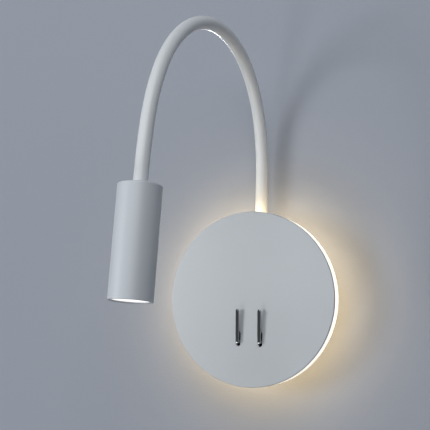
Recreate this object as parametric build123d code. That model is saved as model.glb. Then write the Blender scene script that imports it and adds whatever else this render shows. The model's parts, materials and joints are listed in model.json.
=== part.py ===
from build123d import *
import os
from math import cos, radians, sin, sqrt, tan

# Bedside wall reading lamp. Millimetres and degrees.
# The wall is the plane y = 0 and the lamp stands out from it towards -Y, with +Z up and +X to the right.
# The origin is the middle of the two wall screw slots, on the wall.

# ---- fits
SLIDE = 0.1              # radial clearance of a pin, screw or hose in its hole
GAP = 0.3                # gap beside anything that moves
SEAT = 0.05              # gap under a flat head on a round wall
OVER = 1.0               # how far a hole or cut runs past the faces that it opens

# ---- front panel
base_depth = 34.0        # wall to the face of the front panel
panel_radius = 70.0
panel_thick = 2.0
panel_edge = 0.7         # rounding of the face's edge
stud_inset = 15.5        # panel's welded studs to the housing's wall
stud_angles = (90.0, 210.0, 330.0)
stud_dia = 3.0
stud_length = 8.0
stud_chamfer = 0.4
nut_flats = 5.5
nut_thick = 2.4

# ---- rear housing, a drawn steel cup
housing_wall = 1.5
housing_corner = 1.2     # outside rounding between the cup's floor and its wall

# ---- light ring behind the panel's rim
ring_inset = 0.3         # panel's rim outside the diffuser ring
ring_width = 14.3        # diffuser ring from its outside to its bore
ring_depth = 10.0
ring_wall = 2.0
ring_slip = 0.4          # diffuser ring over the housing
ring_chamfer = 0.8
board_thick = 1.6
board_margin = 0.5       # light board to the walls of its diffuser
chip_count = 30
chip_size = (3.5, 2.8, 0.8)

# ---- wall bracket and side screws
bracket_height = 24.0
bracket_thick = 1.5
tab_gap = 1.0            # bracket's end tabs to the housing's wall
tab_height = 16.0
tab_depth = 12.0
tab_corner = 4.0
slot_spacing = 60.0
slot_length = 12.0
slot_width = 5.0
cable_hole_dia = 20.0
rib_length = 22.0        # pressed ribs that stiffen the strap
rib_radius = 1.2
rib_inset = 4.0
side_screw_dia = 4.0
side_screw_length = 9.0
side_screw_depth = 7.0   # distance of its axis from the wall
side_screw_tip = 0.6
side_head_dia = 7.0
side_head_thick = 2.2
side_head_round = 1.2
cross_size = (4.0, 0.9, 1.2)  # cross recess: length, width and depth

# ---- switches and levers
lever_spacing = 18.7
lever_width = 2.8
lever_thick = 2.4
lever_round = 0.9
lever_drop = 0.7         # middle of the arm's lower rounding below the pivot
lever_reach = 24.6       # height between the arm's lower and upper roundings
lever_low_out = 2.2      # stand-off of the arm's middle line from the panel, low and high
lever_high_out = 3.4
pivot_edge = 20.0        # pivots to the housing's wall below them
pivot_inset = 6.5        # pivot pin behind the panel's face
pivot_dia = 1.6
pivot_length = 11.0
hub_radius = 2.9
foot_radius = 1.8        # web from the hub to the arm
slot_above = 7.5         # panel's slots above and below the pivots
slot_below = 4.2
panel_slot_width = 3.6
floor_slot_margin = 0.4
switch_width = 14.0
switch_height = 21.0
switch_depth = 15.0
switch_chamfer = 0.8
switch_flange = 30.0
switch_flange_thick = 1.6
switch_screw_dia = 2.0
switch_head_dia = 3.8
switch_head_thick = 1.2
blade_size = (0.8, 4.8, 7.0)
blade_rise = 5.0
blade_hole_dia = 1.6
blade_hole_inset = 2.0
driver_slot = (0.5, 0.5)  # straight recess of the small screws: width and depth

# ---- supply: driver and terminal block
driver_size = (50.0, 26.0, 17.0)
driver_centre = (2.0, 10.0)
driver_wall = 1.6
driver_corner = 2.0
driver_lid = 1.6
driver_lip = 1.5
lead_hole_dia = 5.0      # holes for the leads in the driver's two ends
driver_board_thick = 1.6
coil_size = (14.0, 13.0, 10.0)
coil_centre = (0.0, -0.5)
capacitor_size = (8.0, 9.5)   # diameter and height
capacitor_centre = (-15.0, 3.0)
choke_size = (6.0, 7.5)
choke_centre = (15.0, -4.0)
chip_block_size = (8.0, 5.0, 3.5)
chip_block_centre = (15.0, 5.5)
terminal_size = (13.0, 30.0, 12.0)
terminal_height = 6.0    # height of its middle
terminal_gap = 4.3       # its upper outer corner to the housing's wall
terminal_ways = 3
terminal_groove = (1.0, 5.4)  # width and depth of the grooves between its ways
terminal_bore_dia = 4.0
terminal_bore_rise = 4.2
terminal_screw_dia = 3.2
terminal_screw_length = 6.0
terminal_screw_inset = 0.8
terminal_recess = (0.6, 0.8)  # straight recess of its screws: width and depth

# ---- gooseneck
neck_inset = 13.5        # distance of its root from the wall
neck_plane = 3.8         # the arch's plane, turned from straight ahead towards -X
link_length = 42.0
link_turns = (0.0, 15.0, 25.5, 30.5, 31.0, 27.5, 23.6, 16.0, 5.6)
sleeve_dia = 10.0
sleeve_bore = 7.6
hose_dia = 7.4
hose_bore = 4.4
hose_lip = 0.4           # wall left at a hose length's coned end
hose_relief = 18.0       # half of the largest turn that two hose lengths make at their joint
flange_dia = 13.0
flange_thick = 2.0
flange_chamfer = 0.5
stem_dia = 9.8
stem_length = 11.0
stem_bore = 5.0
stem_chamfer = 0.6
spigot_length = 7.0
spigot_bore = 3.0
pad_size = (18.0, 20.0)  # flat pad inside the housing under the neck's nut
pad_rise = 1.1
neck_nut_flats = 14.0
neck_nut_thick = 3.0
neck_washer_dia = 16.0
neck_washer_thick = 0.8
washer_notches = 12
washer_notch_dia = 1.8

# ---- spot head
head_radius = 15.0
head_length = 76.5
head_wall = 1.0
head_top = 2.5
head_edge = 0.9
head_rim_chamfer = 0.3
collar_dia = 11.6
collar_thick = 1.4
collar_chamfer = 0.4
head_stem_dia = 7.8
head_stem_length = 9.0
head_stem_chamfer = 0.5
head_nut_flats = 12.0
head_nut_thick = 3.0
head_washer_dia = 13.0
head_washer_thick = 0.8
sink_length = 18.0
sink_fins = 4
sink_fin_thick = 1.5
sink_core_radius = 6.0
sink_base_thick = 5.0
sink_hole_dia = 4.0
emitter_side = 9.0
emitter_frame = 0.7      # thickness of the emitter's frame
emitter_dome_dia = 7.6
emitter_thick = 1.2
star_radius = 12.0
star_thick = 1.6
star_notch_dia = 3.2
star_screw_circle = 9.0
star_screw_angles = (45.0, 225.0)
star_screw_dia = 2.5
star_screw_length = 5.0
star_head_dia = 4.2
star_head_thick = 1.3
reflector_depth = 8.0
reflector_wall = 1.2
reflector_throat = 7.2
reflector_lift = 2.0     # throat above the light board
reflector_rim = 2.0
lens_thick = 2.0
lens_radius = 13.2
lens_edge = 0.4
bezel_lip = 0.6
mouth_inset = 0.3        # bezel's face inside the head's rim

# ---- worked out from the above
panel_face = -base_depth
panel_back = panel_face + panel_thick
floor_inside = panel_back + housing_wall
ring_radius = panel_radius - ring_inset
ring_bore = ring_radius - ring_width
ring_back = panel_back + ring_depth
housing_radius = ring_bore - ring_slip
housing_bore = housing_radius - housing_wall
stud_circle = housing_bore - stud_inset
bracket_reach = housing_bore - tab_gap
pivot_y = panel_face + pivot_inset
pivot_height = pivot_edge - housing_bore
slot_top = pivot_height + slot_above
slot_bottom = pivot_height - slot_below
lever_low = pivot_height - lever_drop
lever_high = lever_low + lever_reach
switch_back = floor_inside + switch_depth
switch_middle = (slot_top + slot_bottom) / 2
switch_screw_reach = (switch_flange + switch_height) / 4
switch_screw_heights = (switch_middle - switch_screw_reach, switch_middle + switch_screw_reach)
blade_heights = (switch_middle - switch_height / 4, switch_middle + switch_height / 4)
board_inner = ring_bore + ring_wall + board_margin
board_outer = ring_radius - ring_wall - board_margin
flange_seat = sqrt(housing_radius ** 2 - (flange_dia / 2) ** 2)  # height of the round wall at the flange's edge
neck_root = flange_seat + flange_thick
pad_face = housing_bore - pad_rise
terminal_corner = terminal_height + terminal_size[1] / 2
terminal_edge = sqrt((housing_bore - terminal_gap) ** 2 - terminal_corner ** 2)
terminal_centre = (terminal_size[0] / 2 - terminal_edge, terminal_height)
link_count = len(link_turns)
head_bore = head_radius - head_wall
head_insert = head_bore - SLIDE      # radius of what is pushed into the head
mouth = head_length - mouth_inset    # distances down the head from its top face
lens_top = mouth - bezel_lip - lens_thick
star_face = lens_top - reflector_depth
sink_face = star_face - star_thick

WHITE = (0.92, 0.92, 0.91)
STEEL = (0.66, 0.67, 0.69)
CHROME = (0.80, 0.81, 0.83)
BRASS = (0.80, 0.66, 0.36)
BLACK = (0.08, 0.08, 0.09)
OPAL = (0.98, 0.95, 0.86)
GREEN = (0.18, 0.36, 0.24)
SILVER = (0.78, 0.78, 0.78)

UPWARD = (Align.CENTER, Align.CENTER, Align.MIN)
DOWNWARD = (Align.CENTER, Align.CENTER, Align.MAX)

os.makedirs("parts", exist_ok=True)


def save(name, shape, colour):
    """Writes one node; several separate solids go out as one group."""
    solids = shape.solids() if hasattr(shape, "solids") else ShapeList(shape)
    node = solids[0] if len(solids) == 1 else Compound(children=list(solids))
    node.label = name
    node.color = Color(*colour)
    export_step(node, f"parts/{name}.step")


# ---- shapes that several pieces use
def drum(radius, near, far, x=0.0, z=0.0):
    """A round bar along Y from y = near to y = far."""
    return Pos(x, min(near, far), z) * Rot(-90, 0, 0) * Cylinder(radius, abs(far - near), align=UPWARD)


def rod(radius, length, x, y, z):
    """A round bar along X about its middle."""
    return Pos(x, y, z) * Rot(0, 90, 0) * Cylinder(radius, length)


def block(x0, x1, y0, y1, z0, z1):
    """A plain box between its corners."""
    middle = Pos((x0 + x1) / 2, (y0 + y1) / 2, (z0 + z1) / 2)
    return middle * Box(abs(x1 - x0), abs(y1 - y0), abs(z1 - z0))


def facing_wall(x, y, z):
    """Plane across Y whose Z axis points to the wall."""
    return Plane(origin=(x, y, z), x_dir=(1, 0, 0), z_dir=(0, 1, 0))


def slot_prism(width, bottom, top, near, far, x):
    """An upright round-ended slot through a plate, from y = near to y = far."""
    outline = Rot(0, 0, 90) * SlotOverall(top - bottom, width)
    return extrude(facing_wall(x, near, (top + bottom) / 2) * outline, far - near)


def hexagon_nut(flats, thick, bore, plane):
    """A hexagon nut standing on a plane, with the corners of its far face turned off at 30 degrees."""
    blank = extrude(plane * RegularPolygon(flats / sqrt(3), 6), thick)
    land = flats / 2 - SLIDE
    cone = plane * Cone(land + thick * sqrt(3), land, thick, align=UPWARD)
    return (blank & cone) - plane * Cylinder(bore / 2, 3 * thick)


def round_edges(shape, axis):
    """The shape's circular edges, in order along an axis."""
    return shape.edges().filter_by(GeomType.CIRCLE).sort_by(axis)


# ---- front panel: thin round plate with a slot for each lever and welded studs behind
def stud_places():
    """Middle of each welded stud, as x and z."""
    return [(stud_circle * cos(radians(a)), stud_circle * sin(radians(a))) for a in stud_angles]


def front_panel():
    plate = drum(panel_radius, panel_face, panel_back)
    plate = fillet(round_edges(plate, Axis.Y)[0], panel_edge)
    for side in (-1, 1):
        plate -= slot_prism(panel_slot_width, slot_bottom, slot_top,
                            panel_face - OVER, panel_back + OVER, side * lever_spacing / 2)
    for x, z in stud_places():
        stud = drum(stud_dia / 2, panel_back, panel_back + stud_length, x, z)
        plate += chamfer(round_edges(stud, Axis.Y)[-1], stud_chamfer)
    return plate


def panel_nuts():
    bore = stud_dia + 2 * SLIDE
    return [hexagon_nut(nut_flats, nut_thick, bore, facing_wall(x, floor_inside, z)) for x, z in stud_places()]


# ---- rear housing: cup with its floor behind the panel and its open rim on the wall
def rear_housing():
    cup = drum(housing_radius, 0, panel_back)
    cup = fillet(round_edges(cup, Axis.Y)[0], housing_corner)
    cup -= drum(housing_bore, OVER, floor_inside)
    # flat pad inside, under the neck's nut, and a flat spot outside for its flange
    pad = block(-pad_size[0] / 2, pad_size[0] / 2, -neck_inset - pad_size[1] / 2,
                -neck_inset + pad_size[1] / 2, pad_face, housing_radius)
    cup += pad & drum(housing_radius - housing_wall / 2, 0, panel_back)
    spot = flange_dia / 2 + GAP
    cup -= block(-flange_dia, flange_dia, -neck_inset - spot, -neck_inset + spot,
                 flange_seat, housing_radius + OVER)
    cup -= Pos(0, -neck_inset, housing_radius) * Cylinder(stem_dia / 2 + SLIDE, 2 * stem_length)
    floor = (panel_back - OVER, floor_inside + OVER)
    for x, z in stud_places():
        cup -= drum(stud_dia / 2 + SLIDE, *floor, x, z)
    for side in (-1, 1):
        x = side * lever_spacing / 2
        cup -= slot_prism(panel_slot_width + 2 * floor_slot_margin, slot_bottom - floor_slot_margin,
                          slot_top + floor_slot_margin, *floor, x)
        for z in switch_screw_heights:
            cup -= drum(switch_screw_dia / 2 + SLIDE, *floor, x, z)
        cup -= rod(side_screw_dia / 2 + SLIDE, 4 * housing_wall, side * housing_radius, -side_screw_depth, 0)
    return cup


# ---- light ring behind the panel: board, chips and opal diffuser
def ring_light_board():
    disc = drum(board_outer, panel_back, panel_back + board_thick)
    return disc - drum(board_inner, panel_back - OVER, panel_back + board_thick + OVER)


def ring_light_chips():
    face = panel_back + board_thick
    wide, high, thick = chip_size
    chip = block(-high / 2, high / 2, face, face + thick, -wide / 2, wide / 2)
    chip = Pos((board_inner + board_outer) / 2, 0, 0) * chip
    return [Rot(0, 360 * k / chip_count, 0) * chip for k in range(chip_count)]


def diffuser_ring():
    """Ring of U section, open towards the panel and the light board."""
    body = drum(ring_radius, panel_back, ring_back) - drum(ring_bore, panel_back - OVER, ring_back + OVER)
    trough = drum(ring_radius - ring_wall, panel_back - OVER, ring_back - ring_wall)
    body -= trough - drum(ring_bore + ring_wall, panel_back - OVER, ring_back)
    rims = body.edges().filter_by(GeomType.CIRCLE).group_by(Axis.Y)[-1]
    return chamfer(rims, ring_chamfer)


# ---- wall bracket: pressed strap with two tabs that take the side screws
def wall_bracket():
    half = bracket_height / 2
    strap = block(-bracket_reach, bracket_reach, -bracket_thick, 0, -half, half)
    strap &= drum((bracket_reach + housing_bore) / 2, -bracket_thick, 0)
    for side in (-1, 1):
        outer = side * bracket_reach
        tab = block(outer - side * bracket_thick, outer, -tab_depth, 0, -tab_height / 2, tab_height / 2)
        strap += fillet(tab.edges().filter_by(Axis.X).group_by(Axis.Y)[0], tab_corner)
        strap -= rod(side_screw_dia / 2 + SLIDE, 4 * bracket_thick, outer, -side_screw_depth, 0)
        slot = facing_wall(side * slot_spacing / 2, -bracket_thick - OVER, 0) * SlotOverall(slot_length, slot_width)
        strap -= extrude(slot, bracket_thick + 2 * OVER)
        for z in (rib_inset - half, half - rib_inset):
            rib = rod(rib_radius, rib_length, side * slot_spacing / 2, -bracket_thick, z)
            strap += rib & block(-bracket_reach, bracket_reach, -bracket_thick - rib_radius, -bracket_thick / 2,
                                 -half, half)
    return strap - drum(cable_hole_dia / 2, -bracket_thick - OVER, OVER)


def side_screws():
    """Pan-head screws through the cup's wall into the bracket's tabs."""
    screws = []
    long, wide, deep = cross_size
    for side in (-1, 1):
        seat = Plane(origin=(side * (housing_radius + SEAT), -side_screw_depth, 0),
                     x_dir=(0, 1, 0), z_dir=(side, 0, 0))
        outward = Axis(seat.origin, seat.z_dir)
        head = extrude(seat * Circle(side_head_dia / 2), side_head_thick)
        head = fillet(round_edges(head, outward)[-1], side_head_round)
        shank = extrude(seat * Circle(side_screw_dia / 2), -side_screw_length)
        shank = chamfer(round_edges(shank, outward)[0], side_screw_tip)
        cross = Rectangle(long, wide) + Rectangle(wide, long)
        screws.append(head + shank - extrude(seat.offset(side_head_thick) * cross, -deep))
    return screws


# ---- switches: body, pin, screws, blades and the chrome lever
def switch_body(x):
    """Moulded body with a screw flange at each end, open in front for the lever's hub."""
    half = switch_width / 2
    body = block(x - half, x + half, floor_inside, switch_back,
                 switch_middle - switch_height / 2, switch_middle + switch_height / 2)
    body = chamfer(body.edges().group_by(Axis.Y)[-1], switch_chamfer)
    body += block(x - half, x + half, floor_inside, floor_inside + switch_flange_thick,
                  switch_middle - switch_flange / 2, switch_middle + switch_flange / 2)
    room = lever_width / 2 + GAP + SLIDE
    body -= block(x - room, x + room, floor_inside - OVER, pivot_y + hub_radius + GAP,
                  slot_bottom - 2 * GAP, slot_top + GAP)
    body -= rod(pivot_dia / 2 + SLIDE, pivot_length + 2 * GAP, x, pivot_y, pivot_height)
    for z in switch_screw_heights:
        body -= drum(switch_screw_dia / 2 + SLIDE, floor_inside - OVER, floor_inside + 2 * switch_flange_thick, x, z)
    wide, high, length = blade_size
    for z in blade_heights:
        body -= block(x - wide / 2 - SEAT, x + wide / 2 + SEAT, switch_back - (length - blade_rise) - SEAT,
                      switch_back + OVER, z - high / 2 - SEAT, z + high / 2 + SEAT)
    return body


def lever_pin(x):
    return rod(pivot_dia / 2, pivot_length, x, pivot_y, pivot_height)


def switch_blades():
    wide, high, length = blade_size
    root = switch_back - (length - blade_rise)
    blades = []
    for side in (-1, 1):
        x = side * lever_spacing / 2
        for z in blade_heights:
            blade = block(x - wide / 2, x + wide / 2, root, root + length, z - high / 2, z + high / 2)
            hole = rod(blade_hole_dia / 2, 4 * wide, x, root + length - blade_hole_inset, z)
            blades.append(blade - hole)
    return blades


def switch_screws():
    slot_wide, slot_deep = driver_slot
    seat = floor_inside + switch_flange_thick
    top = seat + switch_head_thick
    screws = []
    for side in (-1, 1):
        x = side * lever_spacing / 2
        for z in switch_screw_heights:
            shank = drum(switch_screw_dia / 2, panel_back + SEAT, seat, x, z)
            head = drum(switch_head_dia / 2, seat, top, x, z)
            head -= block(x - switch_head_dia, x + switch_head_dia, top - slot_deep, top + OVER,
                          z - slot_wide / 2, z + slot_wide / 2)
            screws.append(shank + head)
    return screws


def switch_lever(x):
    """Side outline of hub, foot and arm, carried across the lever's width, with softened edges."""
    hub_at = Pos(pivot_y, pivot_height)
    low = Pos(panel_face - lever_low_out, lever_low) * Circle(lever_thick / 2)
    high = Pos(panel_face - lever_high_out, lever_high) * Circle(lever_thick / 2)
    foot = make_hull((hub_at * Circle(foot_radius) + low).edges())
    arm = make_hull((low + high).edges())
    outline = hub_at * Circle(hub_radius) + foot + arm
    plane = Plane(origin=(x - lever_width / 2, 0, 0), x_dir=(0, 1, 0), z_dir=(1, 0, 0))
    bar = extrude(plane * outline, lever_width)
    sides = bar.faces().filter_by(Axis.X).edges()
    bar = fillet(sides, lever_round)
    return bar - rod(pivot_dia / 2 + SLIDE, 2 * lever_width, x, pivot_y, pivot_height)


# ---- supply inside the housing
def driver_outline(margin):
    """Corners of the driver's box, drawn in by a margin all round: x0, x1, z0 and z1."""
    long, high, _ = driver_size
    x, z = driver_centre
    return (x - long / 2 + margin, x + long / 2 - margin), (z - high / 2 + margin, z + high / 2 - margin)


def driver_case():
    deep = driver_size[2]
    outer_x, outer_z = driver_outline(0)
    inner_x, inner_z = driver_outline(driver_wall)
    shell = block(*outer_x, floor_inside, floor_inside + deep - driver_lid, *outer_z)
    shell = fillet(shell.edges().filter_by(Axis.Y), driver_corner)
    inside = block(*inner_x, floor_inside + driver_wall, floor_inside + deep + OVER, *inner_z)
    shell -= fillet(inside.edges().filter_by(Axis.Y), driver_corner / 2)
    for x in outer_x:
        shell -= rod(lead_hole_dia / 2, 4 * driver_wall, x, floor_inside + deep / 2, driver_centre[1])
    return shell


def driver_cover():
    """Flat lid with a lip that locates it inside the case."""
    face = floor_inside + driver_size[2] - driver_lid
    outer_x, outer_z = driver_outline(0)
    lip_x, lip_z = driver_outline(driver_wall + GAP)
    open_x, open_z = driver_outline(2 * driver_wall + GAP)
    lid = block(*outer_x, face, face + driver_lid, *outer_z)
    lid = fillet(lid.edges().filter_by(Axis.Y), driver_corner)
    lip = block(*lip_x, face - driver_lip, face, *lip_z)
    lip -= block(*open_x, face - driver_lip - OVER, face, *open_z)
    return lid + lip


def driver_board():
    """Circuit board on the case's floor, with its coil, capacitor, choke and coupler."""
    x, z = driver_centre
    seat = floor_inside + driver_wall + SEAT
    top = seat + driver_board_thick
    board_x, board_z = driver_outline(driver_wall + GAP)
    board = block(*board_x, seat, top, *board_z)
    for (along, across), size in ((coil_centre, coil_size), (chip_block_centre, chip_block_size)):
        long, high, deep = size
        board += block(x + along - long / 2, x + along + long / 2, top, top + deep,
                       z + across - high / 2, z + across + high / 2)
    for (along, across), (dia, deep) in ((capacitor_centre, capacitor_size), (choke_centre, choke_size)):
        board += drum(dia / 2, top, top + deep, x + along, z + across)
    return board


def terminal_heights():
    pitch = terminal_size[1] / terminal_ways
    low = terminal_centre[1] - terminal_size[1] / 2 + pitch / 2
    return [low + k * pitch for k in range(terminal_ways)]


def terminal_block():
    """Moulded strip with one through bore a way and two screw wells on each."""
    wide, high, deep = terminal_size
    x, z = terminal_centre
    back = floor_inside + deep
    bore_y = floor_inside + terminal_bore_rise
    groove_wide, groove_deep = terminal_groove
    body = block(x - wide / 2, x + wide / 2, floor_inside, back, z - high / 2, z + high / 2)
    for k in range(1, terminal_ways):
        middle = z - high / 2 + k * high / terminal_ways
        body -= block(x - wide, x + wide, back - groove_deep, back + OVER,
                      middle - groove_wide / 2, middle + groove_wide / 2)
    for way in terminal_heights():
        body -= rod(terminal_bore_dia / 2, 2 * wide, x, bore_y, way)
        for side in (-1, 1):
            body -= drum(terminal_screw_dia / 2 + SLIDE, bore_y, back + OVER, x + side * wide / 4, way)
    return body


def terminal_screws():
    wide, _, deep = terminal_size
    top = floor_inside + deep - terminal_screw_inset
    slot_wide, slot_deep = terminal_recess
    screws = []
    for way in terminal_heights():
        for side in (-1, 1):
            x = terminal_centre[0] + side * wide / 4
            screw = drum(terminal_screw_dia / 2, top - terminal_screw_length, top, x, way)
            screws.append(screw - block(x - terminal_screw_dia, x + terminal_screw_dia, top - slot_deep, top + OVER,
                                        way - slot_wide / 2, way + slot_wide / 2))
    return screws


# ---- gooseneck: hose and sleeve in rigid lengths, each one arc of the same centre line
def cut_plane(start, turn, along):
    """Plane across an arc that begins square to a plane: its Z axis runs along the centre line.

    The arc is one link's, bent towards the plane's -Y by the link's whole turn over its whole length.
    """
    angle = radians(turn) * along / link_length
    if turn == 0:
        return start.offset(along)
    radius = link_length / radians(turn)
    origin = start.origin + start.z_dir * (radius * sin(angle)) - start.y_dir * (radius * (1 - cos(angle)))
    direction = start.z_dir * cos(angle) - start.y_dir * sin(angle)
    return Plane(origin=origin, x_dir=start.x_dir, z_dir=direction)


def neck_cuts():
    """Plane at the neck's root and at the end of each link. Their X axis is across the arch."""
    turned_across = (cos(radians(neck_plane)), -sin(radians(neck_plane)), 0)
    cuts = [Plane(origin=(0, -neck_inset, neck_root), x_dir=turned_across, z_dir=(0, 0, 1))]
    for turn in link_turns:
        cuts.append(cut_plane(cuts[-1], turn, link_length))
    return cuts


cuts = neck_cuts()


def neck_length(k, profile, skip_start=0.0, skip_end=0.0):
    """Carries a profile along link k's arc, leaving out a little of each end."""
    turn = link_turns[k]
    first = cut_plane(cuts[k], turn, skip_start)
    length = link_length - skip_start - skip_end
    if turn == 0:
        return extrude(first * profile, length)
    radius = link_length / radians(turn)
    middle = Axis(cuts[k].origin - cuts[k].y_dir * radius, cuts[k].x_dir)
    return revolve(first * profile, middle, turn * length / link_length)


def neck_sleeve(k):
    return neck_length(k, Circle(sleeve_dia / 2) - Circle(sleeve_bore / 2))


def neck_hose(k):
    """Wound hose as a plain tube, its ends coned back so that neighbours clear each other as they turn."""
    relief = hose_dia / 2 * tan(radians(hose_relief)) + GAP / 2
    tip = hose_bore / 2 + hose_lip
    nose = relief * (1 - 2 * tip / hose_dia)
    cone = Cone(hose_dia / 2, tip, nose, align=UPWARD)
    skip_start = 0.0 if k == 0 else relief
    skip_end = 0.0 if k == link_count - 1 else relief
    tube = neck_length(k, Circle(hose_dia / 2), skip_start, skip_end)
    if skip_start:
        tube += cut_plane(cuts[k], link_turns[k], skip_start) * Rot(180, 0, 0) * cone
    if skip_end:
        tube += cut_plane(cuts[k], link_turns[k], link_length - skip_end) * cone
    return tube - neck_length(k, Circle(hose_bore / 2))


def neck_socket():
    """Threaded stem through the housing wall, flange outside it and spigot in the hose."""
    seat = Pos(0, -neck_inset, flange_seat)
    flange = seat * Cylinder(flange_dia / 2, flange_thick, align=UPWARD)
    flange = chamfer(round_edges(flange, Axis.Z)[-1], flange_chamfer)
    stem = seat * Cylinder(stem_dia / 2, stem_length, align=DOWNWARD)
    stem = chamfer(round_edges(stem, Axis.Z)[0], stem_chamfer)
    spigot = Pos(0, -neck_inset, neck_root) * Cylinder(hose_bore / 2 - SLIDE, spigot_length, align=UPWARD)
    bore = seat * Cylinder(spigot_bore / 2, 4 * stem_length)
    counterbore = seat * Cylinder(stem_bore / 2, stem_length + OVER, align=DOWNWARD)
    return flange + stem + spigot - bore - counterbore


def neck_washer():
    """Notched lock washer against the pad inside the housing."""
    ring = Circle(neck_washer_dia / 2) - Circle(stem_dia / 2 + SLIDE)
    for k in range(washer_notches):
        ring -= Rot(0, 0, 360 * k / washer_notches) * Pos(neck_washer_dia / 2, 0) * Circle(washer_notch_dia / 2)
    seat = Plane(origin=(0, -neck_inset, pad_face - neck_washer_thick))
    return extrude(seat * ring, neck_washer_thick)


def neck_nut():
    seat = Plane(origin=(0, -neck_inset, pad_face - neck_washer_thick), x_dir=(1, 0, 0), z_dir=(0, 0, -1))
    return hexagon_nut(neck_nut_flats, neck_nut_thick, stem_dia + 2 * SLIDE, seat)


# ---- spot head, drawn about its own Z axis, which runs down the head from the middle of its top face
head_place = cuts[-1].offset(collar_thick)


def ring_piece(outer, inner, top, bottom):
    """A plain ring about the head's axis between two distances down the head."""
    ring = Pos(0, 0, top) * Cylinder(outer, bottom - top, align=UPWARD)
    if inner:
        ring -= Pos(0, 0, top - OVER) * Cylinder(inner, bottom - top + 2 * OVER, align=UPWARD)
    return ring


def star_screw_places():
    """Middle of each screw of the light board."""
    return [(star_screw_circle * cos(radians(a)), star_screw_circle * sin(radians(a))) for a in star_screw_angles]


def head_shell():
    shell = ring_piece(head_radius, 0, 0, head_length)
    shell = fillet(round_edges(shell, Axis.Z)[0], head_edge)
    shell = chamfer(round_edges(shell, Axis.Z)[-1], head_rim_chamfer)
    shell -= ring_piece(head_bore, 0, head_top, head_length + OVER)
    return shell - ring_piece(head_stem_dia / 2 + SLIDE, 0, -OVER, head_top + OVER)


def neck_end_fitting():
    """Collar on the head's top, spigot up into the hose and threaded stem down into the head."""
    collar = ring_piece(collar_dia / 2, 0, -collar_thick, 0)
    collar = chamfer(round_edges(collar, Axis.Z)[0], collar_chamfer)
    spigot = ring_piece(hose_bore / 2 - SLIDE, 0, -collar_thick - spigot_length, -collar_thick)
    stem = ring_piece(head_stem_dia / 2, 0, 0, head_stem_length)
    stem = chamfer(round_edges(stem, Axis.Z)[-1], head_stem_chamfer)
    bore = ring_piece(spigot_bore / 2, 0, -collar_thick - spigot_length - OVER, head_stem_length + OVER)
    return collar + spigot + stem - bore


def head_washer():
    return ring_piece(head_washer_dia / 2, head_stem_dia / 2 + SLIDE, head_top, head_top + head_washer_thick)


def head_nut():
    seat = Plane(origin=(0, 0, head_top + head_washer_thick))
    return hexagon_nut(head_nut_flats, head_nut_thick, head_stem_dia + 2 * SLIDE, seat)


def heat_sink():
    """Turned aluminium: a base that carries the light board, and a stem of round fins behind it."""
    top = sink_face - sink_length
    body = ring_piece(head_insert, 0, sink_face - sink_base_thick, sink_face)
    body += ring_piece(sink_core_radius, 0, top, sink_face)
    pitch = (sink_length - sink_base_thick) / sink_fins
    for k in range(sink_fins):
        body += ring_piece(head_insert, 0, top + k * pitch, top + k * pitch + sink_fin_thick)
    body -= ring_piece(sink_hole_dia / 2, 0, top - OVER, sink_face + OVER)
    for x, y in star_screw_places():
        body -= Pos(x, y, sink_face) * Cylinder(star_screw_dia / 2 + SLIDE, 2 * star_screw_length)
    return body


def led_board():
    """Round board with a notch for its leads."""
    board = ring_piece(star_radius, 0, sink_face, star_face)
    for x, y in star_screw_places():
        board -= Pos(x, y, star_face) * Cylinder(star_screw_dia / 2 + SLIDE, 4 * star_thick)
    return board - Pos(-star_radius, 0, star_face) * Cylinder(star_notch_dia / 2, 4 * star_thick)


def led_emitter():
    frame = Pos(0, 0, star_face) * Box(emitter_side, emitter_side, emitter_frame, align=UPWARD)
    return frame + ring_piece(emitter_dome_dia / 2, 0, star_face, star_face + emitter_thick)


def board_screws():
    slot_wide, slot_deep = driver_slot
    top = star_face + star_head_thick
    screws = []
    for x, y in star_screw_places():
        shank = Pos(x, y, star_face) * Cylinder(star_screw_dia / 2, star_screw_length, align=DOWNWARD)
        head = Pos(x, y, star_face) * Cylinder(star_head_dia / 2, star_head_thick, align=UPWARD)
        slot = Pos(x, y, top) * Box(slot_wide, 2 * star_head_dia, 2 * slot_deep)
        screws.append(shank + head - slot)
    return screws


def reflector():
    """Cone-shaped cup between the light board and the lens, turned about the head's axis."""
    throat = star_face + reflector_lift
    rim = lens_top - reflector_rim
    mouth_radius = head_insert - reflector_wall
    outline = Polygon((reflector_throat, throat), (reflector_throat + reflector_wall, throat),
                      (head_insert, rim), (head_insert, lens_top), (mouth_radius, lens_top), align=None)
    side_view = Plane(origin=(0, 0, 0), x_dir=(1, 0, 0), z_dir=(0, -1, 0))
    return revolve(side_view * outline, Axis.Z)


def lens():
    """Frosted disc with its outer edge rounded."""
    disc = ring_piece(lens_radius, 0, lens_top, lens_top + lens_thick)
    return fillet(round_edges(disc, Axis.Z)[-1], lens_edge)


def bezel():
    """Thin ring pressed into the mouth, with a lip that keeps the lens in."""
    wall = ring_piece(head_insert, lens_radius + SLIDE, lens_top, mouth)
    return wall + ring_piece(head_insert, lens_radius - bezel_lip, mouth - bezel_lip, mouth)


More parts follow.
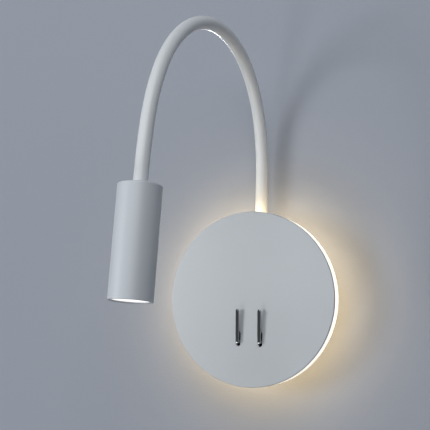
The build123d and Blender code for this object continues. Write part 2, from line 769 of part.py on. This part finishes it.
# ---- all pieces
save("wall_bracket", wall_bracket(), STEEL)
save("rear_housing", rear_housing(), WHITE)
save("front_panel", front_panel(), WHITE)
save("panel_nuts", panel_nuts(), STEEL)
save("ring_light_board", ring_light_board(), WHITE)
save("ring_light_chips", ring_light_chips(), OPAL)
save("diffuser_ring", diffuser_ring(), OPAL)
save("side_screws", side_screws(), STEEL)
save("driver_case", driver_case(), BLACK)
save("driver_cover", driver_cover(), BLACK)
save("driver_board", driver_board(), GREEN)
save("terminal_block", terminal_block(), WHITE)
save("terminal_screws", terminal_screws(), BRASS)
save("switch_blades", switch_blades(), BRASS)
save("switch_screws", switch_screws(), STEEL)
for name, x in (("left", -lever_spacing / 2), ("right", lever_spacing / 2)):
    save(f"switch_body_{name}", switch_body(x), BLACK)
    save(f"lever_pin_{name}", lever_pin(x), STEEL)
    save(f"switch_lever_{name}", switch_lever(x), CHROME)
save("neck_socket", neck_socket(), STEEL)
save("neck_washer", neck_washer(), STEEL)
save("neck_nut", neck_nut(), STEEL)
for k in range(link_count):
    save(f"neck_hose_{k}", neck_hose(k), STEEL)
    save(f"neck_sleeve_{k}", neck_sleeve(k), WHITE)
save("neck_end_fitting", head_place * neck_end_fitting(), WHITE)
save("head_shell", head_place * head_shell(), WHITE)
save("head_washer", head_place * head_washer(), STEEL)
save("head_nut", head_place * head_nut(), STEEL)
save("heat_sink", head_place * heat_sink(), SILVER)
save("led_board", head_place * led_board(), WHITE)
save("led_emitter", head_place * led_emitter(), OPAL)
save("board_screws", [head_place * screw for screw in board_screws()], STEEL)
save("reflector", head_place * reflector(), WHITE)
save("lens", head_place * lens(), OPAL)
save("bezel", head_place * bezel(), WHITE)

print("length of the gooseneck", link_length * link_count)
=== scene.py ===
import json
from math import cos, pi, radians, sin

import bpy
import numpy as np
from mathutils import Matrix, Vector

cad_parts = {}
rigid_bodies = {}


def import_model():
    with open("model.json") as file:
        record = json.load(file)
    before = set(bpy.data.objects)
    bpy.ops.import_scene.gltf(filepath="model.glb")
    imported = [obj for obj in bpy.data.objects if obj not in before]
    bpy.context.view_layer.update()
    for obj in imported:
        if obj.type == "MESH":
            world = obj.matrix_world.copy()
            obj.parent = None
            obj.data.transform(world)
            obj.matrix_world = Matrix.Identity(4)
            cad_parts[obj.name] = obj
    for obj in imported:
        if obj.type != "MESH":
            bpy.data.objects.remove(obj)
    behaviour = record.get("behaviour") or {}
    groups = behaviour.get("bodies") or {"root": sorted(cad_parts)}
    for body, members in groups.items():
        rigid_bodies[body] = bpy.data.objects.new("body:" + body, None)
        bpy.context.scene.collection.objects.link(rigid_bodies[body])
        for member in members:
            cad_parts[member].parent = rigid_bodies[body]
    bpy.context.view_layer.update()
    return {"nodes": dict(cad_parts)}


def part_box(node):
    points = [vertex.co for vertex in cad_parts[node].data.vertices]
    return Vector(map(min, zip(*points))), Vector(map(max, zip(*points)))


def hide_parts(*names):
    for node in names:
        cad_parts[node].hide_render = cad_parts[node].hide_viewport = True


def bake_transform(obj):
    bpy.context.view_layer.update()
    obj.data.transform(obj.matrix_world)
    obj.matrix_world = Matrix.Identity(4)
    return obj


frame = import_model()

scene = bpy.context.scene
nodes = frame["nodes"]
scene.view_settings.view_transform = "Standard"

# ---- Camera
# Stands to the right of the lamp and a little below its plate, looking up and to the left, as in
# the photograph. Its angles and focal length come from the plate's ellipse and the neck's edges.
camera_place = Vector((0.2907, -0.7366, -0.0144))
camera_yaw = radians(24.71)
camera_pitch = radians(6.07)
camera_roll = radians(1.43)
focal_pixels = 950
frame_pixels = 430
nearest_seen = 0.01

level_ahead = Vector((-sin(camera_yaw), cos(camera_yaw), 0))
level_right = Vector((cos(camera_yaw), sin(camera_yaw), 0))
forward = level_ahead * cos(camera_pitch) + Vector((0, 0, sin(camera_pitch)))
level_up = level_right.cross(forward)
right = level_right * cos(camera_roll) + level_up * sin(camera_roll)
upward = level_up * cos(camera_roll) - level_right * sin(camera_roll)
facing = Matrix((right, upward, -forward)).transposed().to_4x4()
camera = bpy.data.objects.new("camera", bpy.data.cameras.new("camera"))
camera.matrix_world = Matrix.Translation(camera_place) @ facing
camera.data.lens = camera.data.sensor_width * focal_pixels / frame_pixels
camera.data.clip_start = nearest_seen
scene.collection.objects.link(camera)
scene.camera = camera


# ---- Wall and floor
# A painted wall that the lamp hangs on, running through a cove into a floor well below it. One
# swept sheet, in a matt grey-blue paint with the light stipple that a roller leaves.
wall_half_width = 1.6
wall_top = 1.3
floor_level = -1.6
floor_reach = 2.2
cove_radius = 0.15
cove_points = 13
cove_sharp_angle = 40
wall_colour = (0.302, 0.325, 0.375)


def mesh_object(name, points, faces, sharp_angle):
    """A mesh from points and a list of faces, shaded smooth up to an angle in degrees."""
    mesh = bpy.data.meshes.new(name)
    mesh.from_pydata(points, [], faces)
    mesh.shade_smooth()
    mesh.set_sharp_from_angle(angle=radians(sharp_angle))
    piece = bpy.data.objects.new(name, mesh)
    scene.collection.objects.link(piece)
    return piece


def grid_faces(rows, columns, closed=False):
    """Quads between neighbouring points of a grid; closed joins its last column to its first."""
    row = np.arange(rows - 1)[:, None] * columns
    column = np.arange(columns if closed else columns - 1)[None, :]
    after = (column + 1) % columns
    corners = (row + column, row + after, row + columns + after, row + columns + column)
    return np.stack(np.broadcast_arrays(*corners), axis=-1).reshape(-1, 4).tolist()


def add_node(tree, kind, inputs=(), **settings):
    """A node with its settings, and each of its inputs set to a value or linked from a socket."""
    node = tree.nodes.new("ShaderNode" + kind)
    for name, value in settings.items():
        setattr(node, name, value)
    for key, value in dict(inputs).items():
        if isinstance(value, bpy.types.NodeSocket):
            tree.links.new(value, node.inputs[key])
        else:
            node.inputs[key].default_value = value
    return node


def calc(tree, operation, *values):
    """The result of a Math node on one to three values."""
    return add_node(tree, "Math", dict(enumerate(values)), operation=operation).outputs[0]


def vector_calc(tree, operation, *values, gives="Vector"):
    """The result of a Vector Math node: a vector, or a number where gives says Value."""
    node = add_node(tree, "VectorMath", dict(enumerate(values)), operation=operation)
    return node.outputs[gives]


def scaled(tree, vector, factor):
    """A vector or a colour times a number."""
    return add_node(tree, "VectorMath", {0: vector, "Scale": factor}, operation="SCALE").outputs[0]


def remap(tree, value, start, end, low=0.0, high=1.0):
    """A value's place between start and end, spread from low to high and held at both."""
    ends = {"Value": value, "From Min": start, "From Max": end, "To Min": low, "To Max": high}
    return add_node(tree, "MapRange", ends).outputs["Result"]


def bumped(tree, height, depth, **under):
    """The normal of a bump of a given depth, over another bump's normal if one is given."""
    values = {"Height": height, "Strength": 1.0, "Distance": depth, **under}
    return add_node(tree, "Bump", values).outputs["Normal"]


def object_place(tree):
    """Where a point lies on the lamp, in metres."""
    return add_node(tree, "TexCoord").outputs["Object"]


def new_group(name, inputs, outputs):
    """An empty node group with named sockets: its tree, its input node and its output node."""
    tree = bpy.data.node_groups.new(name, "ShaderNodeTree")
    for label, kind, value in inputs:
        socket = tree.interface.new_socket(label, in_out="INPUT", socket_type="NodeSocket" + kind)
        socket.default_value = value
    for label, kind in outputs:
        tree.interface.new_socket(label, in_out="OUTPUT", socket_type="NodeSocket" + kind)
    return tree, tree.nodes.new("NodeGroupInput"), tree.nodes.new("NodeGroupOutput")


# Every made surface is a little uneven: its tone and its gloss drift over centimetres, and it has a
# fine grain, which a stretch of the coordinates draws out into lines. The group gives the colour,
# the roughness and the grain's height.
noise_low = 0.3           # where most of a noise's values begin and end
noise_high = 0.7
uneven, given, result = new_group(
    "uneven_surface",
    [("Colour", "Color", (1, 1, 1, 1)), ("Drift Scale", "Float", 20.0), ("Drift", "Float", 0.03),
     ("Smooth", "Float", 0.4), ("Rough", "Float", 0.5), ("Grain Scale", "Float", 2500.0),
     ("Grain Stretch", "Vector", (1, 1, 1)), ("Grain Tone", "Float", 0.0)],
    [("Colour", "Color"), ("Roughness", "Float"), ("Height", "Float")])
asked = given.outputs
place = object_place(uneven)
drift = add_node(uneven, "TexNoise", {"Vector": place, "Scale": asked["Drift Scale"],
                                      "Detail": 2.0})
drawn = vector_calc(uneven, "MULTIPLY", place, asked["Grain Stretch"])
grain = add_node(uneven, "TexNoise", {"Vector": drawn, "Scale": asked["Grain Scale"], "Detail": 3.0,
                                      "Roughness": 0.6})
darker = calc(uneven, "SUBTRACT", 1.0, asked["Drift"])
lighter = calc(uneven, "ADD", 1.0, asked["Drift"])
tone = remap(uneven, drift.outputs["Fac"], noise_low, noise_high, darker, lighter)
centred = calc(uneven, "SUBTRACT", grain.outputs["Fac"], 0.5)
lined = calc(uneven, "MULTIPLY_ADD", centred, asked["Grain Tone"], tone)
gloss = remap(uneven, drift.outputs["Fac"], noise_low, noise_high, asked["Smooth"], asked["Rough"])
uneven.links.new(scaled(uneven, asked["Colour"], lined), result.inputs["Colour"])
uneven.links.new(gloss, result.inputs["Roughness"])
uneven.links.new(grain.outputs["Fac"], result.inputs["Height"])


def surface(name, colour, smooth, rough, grain_scale, grain_depth, drift_scale=20.0, drift=0.03,
            stretch=(1, 1, 1), grain_tone=0.0, **sockets):
    """A material whose colour, roughness and bump come from the uneven_surface group."""
    material = bpy.data.materials.new(name)
    material.use_nodes = True
    tree = material.node_tree
    shader = tree.nodes["Principled BSDF"]
    for socket, value in sockets.items():
        shader.inputs[socket.replace("_", " ")].default_value = value
    effect = add_node(tree, "Group", node_tree=uneven)
    values = {"Colour": (*colour, 1), "Drift Scale": drift_scale, "Drift": drift, "Smooth": smooth,
              "Rough": rough, "Grain Scale": grain_scale, "Grain Stretch": stretch,
              "Grain Tone": grain_tone}
    for socket, value in values.items():
        effect.inputs[socket].default_value = value
    tree.links.new(effect.outputs["Colour"], shader.inputs["Base Color"])
    tree.links.new(effect.outputs["Roughness"], shader.inputs["Roughness"])
    tree.links.new(bumped(tree, effect.outputs["Height"], grain_depth), shader.inputs["Normal"])
    return material


turn = np.linspace(0, pi / 2, cove_points)[:, None]
cove = np.hstack([cove_radius * (np.cos(turn) - 1), floor_level + cove_radius * (1 - np.sin(turn))])
profile = np.vstack([[[0, wall_top]], cove, [[-floor_reach, floor_level]]])
sheet = np.array([[(side * wall_half_width, y, z) for side in (1, -1)] for y, z in profile])
backdrop = mesh_object("wall_and_floor", sheet.reshape(-1, 3), grid_faces(len(profile), 2),
                       cove_sharp_angle)
wall_paint = surface("wall_paint", wall_colour, smooth=0.75, rough=0.85, grain_scale=900.0,
                     grain_depth=0.00015, drift_scale=3.0, drift=0.015, Specular_IOR_Level=0.1)
backdrop.data.materials.append(wall_paint)
# The paint is clear from behind, so that the lamp's back can be seen.
tree = wall_paint.node_tree
behind = add_node(tree, "NewGeometry").outputs["Backfacing"]
painted = tree.nodes["Principled BSDF"].outputs[0]
clear = add_node(tree, "BsdfTransparent").outputs[0]
one_sided = add_node(tree, "MixShader", {0: behind, 1: painted, 2: clear})
tree.links.new(one_sided.outputs[0], tree.nodes["Material Output"].inputs["Surface"])

# ---- Lights
# A window on the left, level with the lamp, throws the gooseneck's main shadow on the wall. A
# weaker light from low on the left throws a second one upwards, and a broad soft light in front
# fills in. The levers are chrome in a dark room, so the window isn't mirrored in them.
aim = Vector((0, -0.06, 0.05))  # near the middle of the lamp
daylight = (0.97, 0.99, 1.0)
room_colour = (0.93, 0.96, 1.0, 1)
room_level = 0.09
levers = ("switch_lever_left", "switch_lever_right")


def area_light(name, direction, distance, size, watts):
    """A square soft light at a distance from the lamp, facing it."""
    direction = Vector(direction).normalized()
    light = bpy.data.objects.new(name, bpy.data.lights.new(name, "AREA"))
    light.data.size = size
    light.data.energy = watts
    light.data.color = daylight
    light.location = aim + direction * distance
    light.rotation_euler = direction.to_track_quat("Z", "Y").to_euler()
    light.visible_camera = False
    scene.collection.objects.link(light)
    return light


window = area_light("window_light", (-0.95, -1.0, 0.0), distance=2.0, size=0.65, watts=15.5)
area_light("low_light", (-0.675, -1.0, -1.5), distance=2.0, size=0.6, watts=11.0)
area_light("front_light", (0.17, -0.80, 0.57), distance=1.5, size=1.2, watts=14.5)
unlit = bpy.data.collections.new("not_lit_by_the_window")
for lever in levers:
    unlit.objects.link(nodes[lever])
for member in unlit.collection_objects:
    member.light_linking.link_state = "EXCLUDE"
window.light_linking.receiver_collection = unlit
world = bpy.data.worlds.new("room")
world.use_nodes = True
scene.world = world
world.node_tree.nodes["Background"].inputs["Color"].default_value = room_colour
world.node_tree.nodes["Background"].inputs["Strength"].default_value = room_level

# ---- Wall bracket
# A strap of zinc-plated steel, pressed, with two slots for the wall screws, a hole for the cable
# and a tab at each end. The plating is satin, with the rolling lines of the sheet along the strap.
zinc_colour = (0.56, 0.57, 0.58)


def dress(material, *names):
    """Gives CAD nodes their material."""
    for name in names:
        nodes[name].data.materials.clear()
        nodes[name].data.materials.append(material)


zinc_strap = surface("zinc_strap", zinc_colour, smooth=0.28, rough=0.42, grain_scale=900.0,
                     grain_depth=0.00003, drift_scale=60.0, drift=0.07, stretch=(0.03, 1, 1),
                     grain_tone=0.35, Metallic=1.0)
dress(zinc_strap, "wall_bracket")

# ---- Rear housing and front panel
# The cup is drawn and the panel is blanked from sheet steel. Both have a satin white powder coat,
# baked on, with a fine orange peel. The panel's welded studs and their nuts are left zinc-plated.
coat_colour = (0.475, 0.50, 0.525)
powder_coat = surface("powder_coat", coat_colour, smooth=0.34, rough=0.40, grain_scale=1600.0,
                      grain_depth=0.00002, drift=0.012, Specular_IOR_Level=0.8)
dress(powder_coat, "rear_housing", "front_panel")
panel_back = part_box("rear_housing")[0].y
weld_land = 0.0002        # foot of a stud that stays painted with the panel
sideways, inward, upright = (1, 0, 0), (0, 1, 0), (0, 0, 1)

# A thread is seen as ridges across the screw's axis. The group gives their height.
ridges, given, result = new_group(
    "screw_thread", [("Axis", "Vector", (0, 0, 1)), ("Pitch", "Float", 0.0007)],
    [("Height", "Float")])
place = object_place(ridges)
along = vector_calc(ridges, "DOT_PRODUCT", place, given.outputs["Axis"], gives="Value")
turns = calc(ridges, "DIVIDE", along, given.outputs["Pitch"])
ridges.links.new(calc(ridges, "PINGPONG", turns, 0.5), result.inputs["Height"])


def threaded(name, colour, axis, pitch):
    """A plated metal with a screw thread along an axis."""
    material = surface(name, colour, smooth=0.25, rough=0.4, grain_scale=2000.0,
                       grain_depth=0.00001, Metallic=1.0)
    tree = material.node_tree
    effect = add_node(tree, "Group", node_tree=ridges)
    effect.inputs["Axis"].default_value = axis
    effect.inputs["Pitch"].default_value = pitch
    thread = bumped(tree, effect.outputs["Height"], pitch)
    tree.links.new(thread, tree.nodes["Principled BSDF"].inputs["Normal"])
    return material


def dress_faces(name, material, chosen):
    """Gives a second material to the faces of a CAD node that a test of their middles chooses."""
    mesh = nodes[name].data
    middles = np.empty(len(mesh.polygons) * 3)
    mesh.polygons.foreach_get("center", middles)
    index = np.empty(len(mesh.polygons), np.int32)
    mesh.polygons.foreach_get("material_index", index)
    index[chosen(middles.reshape(-1, 3))] = len(mesh.materials)
    mesh.materials.append(material)
    mesh.polygons.foreach_set("material_index", index)


zinc = surface("zinc_plate", zinc_colour, smooth=0.28, rough=0.40, grain_scale=1800.0,
               grain_depth=0.00001, drift_scale=150.0, drift=0.06, Metallic=1.0)
zinc_thread_m3 = threaded("zinc_thread_m3", zinc_colour, inward, pitch=0.0005)
dress_faces("front_panel", zinc_thread_m3, lambda middle: middle[:, 1] > panel_back + weld_land)
dress(zinc, "panel_nuts")

# ---- Side screws
# Two pan-head steel screws with a cross recess, through the cup's wall into the bracket's tabs.
# Their heads are painted with the cup, and their shanks are zinc-plated.
housing_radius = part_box("rear_housing")[1].x
dress(powder_coat, "side_screws")
zinc_thread_m4 = threaded("zinc_thread_m4", zinc_colour, sideways, pitch=0.0007)
dress_faces("side_screws", zinc_thread_m4, lambda middle: np.abs(middle[:, 0]) < housing_radius)

# ---- Light ring
# Thirty chips on a round aluminium board, under a ring of opal plastic. It glows warm white, most
# above the chips and towards its rim, and lights the wall behind the panel. To the eye its glow is
# nearly white, so that colour shows, and the strength that lights the wall isn't painted on it.
ring_low, ring_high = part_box("diffuser_ring")
ring_radius = ring_high.x
ring_width = 0.0143
ring_chamfer = 0.0008
chip_count = 30
warm_white = (1.0, 0.72, 0.36)
ring_glow = 6.8
bore_glow = 0.55          # share of the glow left at the ring's bore, and on its sides
side_glow = 0.75
seen_white = (1.0, 0.965, 0.86)
seen_front = 1.12         # glow that shows at the panel's edge of the ring, and at its back
seen_back = 0.80
chip_spots = 0.05         # how much brighter it shows above a chip
mix_vectors = (4, 5, 1)   # a Mix node's sockets for two vectors, and for what they make
opal = surface("opal_ring", (0.9, 0.88, 0.82), smooth=0.35, rough=0.45, grain_scale=800.0,
               grain_depth=0.00001, Emission_Strength=1.0)
tree = opal.node_tree
place = object_place(tree)
axes = add_node(tree, "SeparateXYZ", {0: place}).outputs
flat = vector_calc(tree, "MULTIPLY", place, (1, 0, 1))
radius = vector_calc(tree, "LENGTH", flat, gives="Value")
rimward = remap(tree, radius, ring_radius - ring_width, ring_radius, bore_glow, 1.0)
facing_chips = remap(tree, axes["Y"], ring_high.y - ring_chamfer, ring_high.y,
                     side_glow * ring_glow, ring_glow)
lighting = scaled(tree, warm_white, calc(tree, "MULTIPLY", rimward, facing_chips))
angle = calc(tree, "ARCTAN2", axes["Z"], axes["X"])
spot = calc(tree, "COSINE", calc(tree, "MULTIPLY", angle, float(chip_count)))
spots = calc(tree, "MULTIPLY_ADD", spot, chip_spots, 1.0)
backward = remap(tree, axes["Y"], ring_low.y, ring_high.y, seen_front, seen_back)
showing = scaled(tree, seen_white, calc(tree, "MULTIPLY", backward, spots))
seen = add_node(tree, "LightPath").outputs["Is Camera Ray"]
first, second, made = mix_vectors
glow = add_node(tree, "Mix", {0: seen, first: lighting, second: showing}, data_type="VECTOR")
tree.links.new(glow.outputs[made], tree.nodes["Principled BSDF"].inputs["Emission Color"])
dress(opal, "diffuser_ring")
chip_phosphor = surface("chip_phosphor", (0.9, 0.72, 0.25), smooth=0.3, rough=0.4,
                        grain_scale=3000.0, grain_depth=0.00001,
                        Emission_Color=(1.0, 0.74, 0.34, 1), Emission_Strength=2.0)
dress(chip_phosphor, "ring_light_chips", "led_emitter")
board_white = surface("board_white", (0.75, 0.75, 0.74), smooth=0.35, rough=0.45,
                      grain_scale=1500.0, grain_depth=0.00001)
dress(board_white, "ring_light_board", "led_board")

# ---- Driver
# A circuit board with a taped coil, a capacitor, a choke and a coupler, in a moulded black case
# with a lid. The case's texture is spark-eroded. The board is green resist over copper tracks.
black_nylon = surface("black_nylon", (0.028, 0.028, 0.03), smooth=0.45, rough=0.6,
                      grain_scale=2200.0, grain_depth=0.00004)
dress(black_nylon, "driver_case", "driver_cover")
resist_green = (0.02, 0.13, 0.06)
track_green = (0.05, 0.24, 0.11)
track_grid = 400.0
track_edges = (0.38, 0.42)
mix_colours = (6, 7, 2)   # a Mix node's sockets for two colours, and for what they make
resist = surface("green_resist", resist_green, smooth=0.25, rough=0.35, grain_scale=900.0,
                 grain_depth=0.00001)
tree = resist.node_tree
cells = add_node(tree, "TexVoronoi",
                 {"Vector": object_place(tree), "Scale": track_grid, "Randomness": 0.6},
                 distance="CHEBYCHEV", feature="F1")
tracks = remap(tree, cells.outputs["Distance"], *track_edges)
first, second, made = mix_colours
copper = add_node(tree, "Mix", {0: tracks, first: (*resist_green, 1), second: (*track_green, 1)},
                  data_type="RGBA")
tree.links.new(copper.outputs[made], tree.nodes["Principled BSDF"].inputs["Base Color"])
dress(resist, "driver_board")

board_low, board_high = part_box("driver_board")
board_thick = 0.0016
solder_land = 0.0002      # foot of a part that stays green with the board
board_top = board_low.y + board_thick + solder_land
board_middle = (board_low.x + board_high.x) / 2
coil_reach = 0.0075       # half-width of the coil, and where the parts beside it begin
coil_tape = surface("coil_tape", (0.62, 0.44, 0.06), smooth=0.3, rough=0.4, grain_scale=500.0,
                    grain_depth=0.00002, stretch=(0.1, 0.1, 1))
can_sleeve = surface("can_sleeve", (0.02, 0.03, 0.07), smooth=0.2, rough=0.3, grain_scale=1500.0,
                     grain_depth=0.00001)
moulded_black = surface("moulded_black", (0.02, 0.02, 0.02), smooth=0.5, rough=0.6,
                        grain_scale=2500.0, grain_depth=0.00001)


def board_parts(start, end):
    """A test for faces above the board, from start to end to the right of its middle."""
    def chosen(middle):
        beside = middle[:, 0] - board_middle
        return (middle[:, 1] > board_top) & (beside > start) & (beside < end)
    return chosen


dress_faces("driver_board", coil_tape, board_parts(-coil_reach, coil_reach))
dress_faces("driver_board", can_sleeve, board_parts(-np.inf, -coil_reach))
dress_faces("driver_board", moulded_black, board_parts(coil_reach, np.inf))

# ---- Terminal block
# A strip of white nylon with three ways, each with two brass screws under a slotted head. It is
# moulded, and the supply cable's wires end in it.
white_nylon = surface("white_nylon", (0.72, 0.72, 0.70), smooth=0.4, rough=0.5,
                      grain_scale=1500.0, grain_depth=0.00002)
dress(white_nylon, "terminal_block")
brass_colour = (0.72, 0.52, 0.24)
brass_thread = threaded("brass_thread", brass_colour, inward, pitch=0.0005)
dress(brass_thread, "terminal_screws")

# ---- Switches and levers
# Two moulded rocker switches on the cup's floor, each with a steel pin, two small screws, two brass
# blades and a polished chrome lever that comes out through the panel's slot.
dress(black_nylon, "switch_body_left", "switch_body_right")
dress(zinc, "switch_screws", "lever_pin_left", "lever_pin_right")
brass = surface("brass_strip", brass_colour, smooth=0.3, rough=0.4, grain_scale=900.0,
                grain_depth=0.00002, stretch=(1, 0.05, 1), grain_tone=0.3, Metallic=1.0)
dress(brass, "switch_blades")
chrome = surface("chrome_plate", (0.50, 0.51, 0.52), smooth=0.06, rough=0.12, grain_scale=500.0,
                 grain_depth=0.000003, drift_scale=200.0, Metallic=1.0)
dress(chrome, *levers)

# ---- Gooseneck
# A wound steel hose inside a moulded sleeve of white silicone. Each stretch of the sleeve runs from
# the middle of one length to the middle of the next, curved over the joint between them.
neck_plane = radians(3.8)
neck_turns = np.radians((0.0, 15.0, 25.5, 30.5, 31.0, 27.5, 23.6, 16.0, 5.6))
sleeve_low, sleeve_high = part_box("neck_sleeve_0")
neck_root = np.array([(sleeve_low.x + sleeve_high.x) / 2, (sleeve_low.y + sleeve_high.y) / 2,
                      sleeve_low.z])
link_count = len(neck_turns)
link_length = sleeve_high.z - sleeve_low.z
neck_length = link_count * link_length
sleeve_radius = (sleeve_high.x - sleeve_low.x) / 2
sleeve_bore = 0.0038
sleeve_sides = 48
sleeve_step = 0.0015
sleeve_sharp_angle = 50
ahead = np.array([-sin(neck_plane), -cos(neck_plane), 0.0])
across = np.array([cos(neck_plane), -sin(neck_plane), 0.0])
straight_up = np.array([0.0, 0.0, 1.0])
cut_turns = np.concatenate([[0.0], np.cumsum(neck_turns)])


def neck_line(length):
    """Middle line of the gooseneck at an array of lengths from its root: points, and outward side.

    Each link is an arc. A chord of an arc of length s that turns by d is s * sin(d / 2) / (d / 2)
    long, and lies at half of that turn from the arc's start.
    """
    def chord(link, part):
        turned = neck_turns[link] * part / link_length
        lie = cut_turns[link] + turned / 2
        reach = part * np.sinc(turned / 2 / pi)
        return reach[:, None] * (np.cos(lie)[:, None] * straight_up + np.sin(lie)[:, None] * ahead)

    whole = chord(np.arange(link_count), np.full(link_count, link_length))
    cuts = neck_root + np.vstack([np.zeros(3), np.cumsum(whole, axis=0)])
    link = np.clip((length / link_length).astype(int), 0, link_count - 1)
    part = length - link * link_length
    angle = cut_turns[link] + neck_turns[link] * part / link_length
    outward = np.sin(angle)[:, None] * straight_up - np.cos(angle)[:, None] * ahead
    return cuts[link] + chord(link, part), outward


def sleeve_tube(name, start, end):
    """A stretch of sleeve along the gooseneck from one length to another, with flat ends.

    Round the ring at angle a, a point lies on the middle line plus its radius times
    (cos a * outward + sin a * across). The bore runs back inside, so the grid closes on itself.
    """
    rows = max(2, int(round((end - start) / sleeve_step)) + 1)
    length = np.linspace(start, end, rows)
    middle, outward = neck_line(length)
    angle = np.arange(sleeve_sides) * 2 * pi / sleeve_sides
    cosine, sine = np.cos(angle)[None, :, None], np.sin(angle)[None, :, None]
    ring = cosine * outward[:, None, :] + sine * across
    outside = middle[:, None, :] + sleeve_radius * ring
    inside = (middle[:, None, :] + sleeve_bore * ring)[::-1]
    points = np.concatenate([outside, inside]).reshape(-1, 3)
    faces = np.array(grid_faces(2 * rows + 1, sleeve_sides, closed=True)) % len(points)
    piece = mesh_object(name, points, faces.tolist(), sleeve_sharp_angle)
    column = np.arange(len(faces)) % sleeve_sides
    around = (column[:, None] + np.array([0, 1, 1, 0])) / sleeve_sides
    along = np.concatenate([length, length[::-1]])[faces // sleeve_sides]
    uv = piece.data.uv_layers.new(name="around_and_along")
    uv.data.foreach_set("uv", np.stack([around, along], axis=-1).ravel())
    return piece


# The mould's two halves leave a fine line along each side of the sleeve, a quarter of the way round
# from its back, and the wound hose under it shows as the faintest ripple.
silicone_colour = (0.62, 0.645, 0.67)
line_place = 0.25         # all three as shares of the way round
line_spacing = 0.5
line_half_width = 0.004
line_height = 0.00005
hose_pitch = 0.0022
ripple_height = 0.000006
silicone = surface("silicone", silicone_colour, smooth=0.42, rough=0.52, grain_scale=1800.0,
                   grain_depth=0.000015, drift=0.015)
tree = silicone.node_tree
shader = tree.nodes["Principled BSDF"]
sleeve_uv = add_node(tree, "UVMap", uv_map="around_and_along").outputs["UV"]
ways = add_node(tree, "SeparateXYZ", {0: sleeve_uv}).outputs
past_line = calc(tree, "SUBTRACT", ways["X"], line_place)
from_line = calc(tree, "PINGPONG", past_line, line_spacing / 2)
line = remap(tree, from_line, 0.0, line_half_width, 1.0, 0.0)
ripple = calc(tree, "SINE", calc(tree, "MULTIPLY", ways["Y"], 2 * pi / hose_pitch))
grain_normal = shader.inputs["Normal"].links[0].from_socket
rippled = bumped(tree, ripple, ripple_height, Normal=grain_normal)
tree.links.new(bumped(tree, line, line_height, Normal=rippled), shader.inputs["Normal"])

ease = 0.0015             # distance in from each end of a stretch, where the points before and after are found
for k in range(1, link_count):
    from_middle = (k - 0.5) * link_length
    to_middle = (k + 0.5) * link_length
    start = 0.0 if k == 1 else from_middle
    end = neck_length if k == link_count - 1 else to_middle
    sleeve = sleeve_tube(f"neck_sleeve_stretch_{k}", start, end)
    sleeve.data.materials.append(silicone)
    (before, after), _ = neck_line(np.array([from_middle + ease, to_middle - ease]))
    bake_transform(sleeve)
    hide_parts(f"neck_sleeve_{k - 1}", f"neck_sleeve_{k}")

hose_colour = (0.5, 0.51, 0.52)
hose_steel = threaded("hose_steel", hose_colour, upright, hose_pitch)
dress(hose_steel, *[f"neck_hose_{k}" for k in range(link_count)])

# The hose's socket stands in the cup's wall. Its stem is threaded to just past the nut.
thread_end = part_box("neck_nut")[1].z + 0.001
zinc_thread_m10 = threaded("zinc_thread_m10", zinc_colour, upright, pitch=0.001)
dress(zinc, "neck_socket", "neck_washer", "neck_nut")
dress_faces("neck_socket", zinc_thread_m10, lambda middle: middle[:, 2] < thread_end)

# ---- Spot head
# A turned aluminium tube, painted like the panel but more matt, which a threaded fitting joins to
# the gooseneck. Its colour is the panel's made a little lighter and bluer, as painted light. Inside
# are a heat sink, a light board with its emitter, and a reflector behind a frosted lens, held by a
# painted bezel.
# The panel's coat colour made lighter and bluer: painted light that brightens the head's middle.
head_colour_with_painted_light = (0.505, 0.537, 0.575)
head_paint = surface("head_paint", head_colour_with_painted_light, smooth=0.46, rough=0.52, grain_scale=1800.0,
                     grain_depth=0.000012, drift=0.01, Specular_IOR_Level=0.6)
dress(head_paint, "head_shell", "bezel", "neck_end_fitting")
head_turn = cut_turns[-1]
head_axis = cos(head_turn) * straight_up + sin(head_turn) * ahead
neck_end = neck_line(np.array([neck_length]))[0][0]
painted_fitting = 0.004   # collar and the stem's part in the head's top wall
head_thread = threaded("head_thread", zinc_colour, tuple(head_axis), pitch=0.001)
dress_faces("neck_end_fitting", head_thread,
            lambda middle: (middle - neck_end) @ head_axis > painted_fitting)
dress(zinc, "head_washer", "head_nut", "board_screws")
aluminium = surface("turned_aluminium", (0.7, 0.71, 0.72), smooth=0.25, rough=0.35,
                    grain_scale=2000.0, grain_depth=0.00001, grain_tone=0.1, Metallic=1.0)
dress(aluminium, "heat_sink")
mirror = surface("metallised_reflector", (0.80, 0.80, 0.79), smooth=0.08, rough=0.14,
                 grain_scale=900.0, grain_depth=0.000004, Metallic=1.0)
dress(mirror, "reflector")
lens_low, lens_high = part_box("lens")
lens_middle = (lens_low + lens_high) / 2
lens_reach = (lens_high - lens_low).length / 2
lens_white = (1.0, 0.955, 0.915)
lens_centre_glow = 0.95
lens_edge_glow = 0.72
frosted = surface("frosted_lens", (0.86, 0.86, 0.85), smooth=0.4, rough=0.5, grain_scale=900.0,
                  grain_depth=0.00002, Emission_Strength=1.0)
tree = frosted.node_tree
out = vector_calc(tree, "DISTANCE", object_place(tree), tuple(lens_middle), gives="Value")
fade = remap(tree, out, 0.0, lens_reach, lens_centre_glow, lens_edge_glow)
glow = scaled(tree, lens_white, fade)
tree.links.new(glow, tree.nodes["Principled BSDF"].inputs["Emission Color"])
dress(frosted, "lens")

# ---- Light behind the wall
# Shines on the lamp alone, through the wall, so that its back can be seen. It stands straight
# behind the head from the camera, where nothing that it lights shows in the front view.
back_light = area_light("back_light", (-0.52, 0.87, 0.13), distance=2.0, size=0.3, watts=20.0)
lamp = bpy.data.collections.new("lamp")
for piece in scene.objects:
    if piece.type == "MESH" and piece != backdrop:
        lamp.objects.link(piece)
back_light.light_linking.receiver_collection = lamp
back_light.light_linking.blocker_collection = lamp
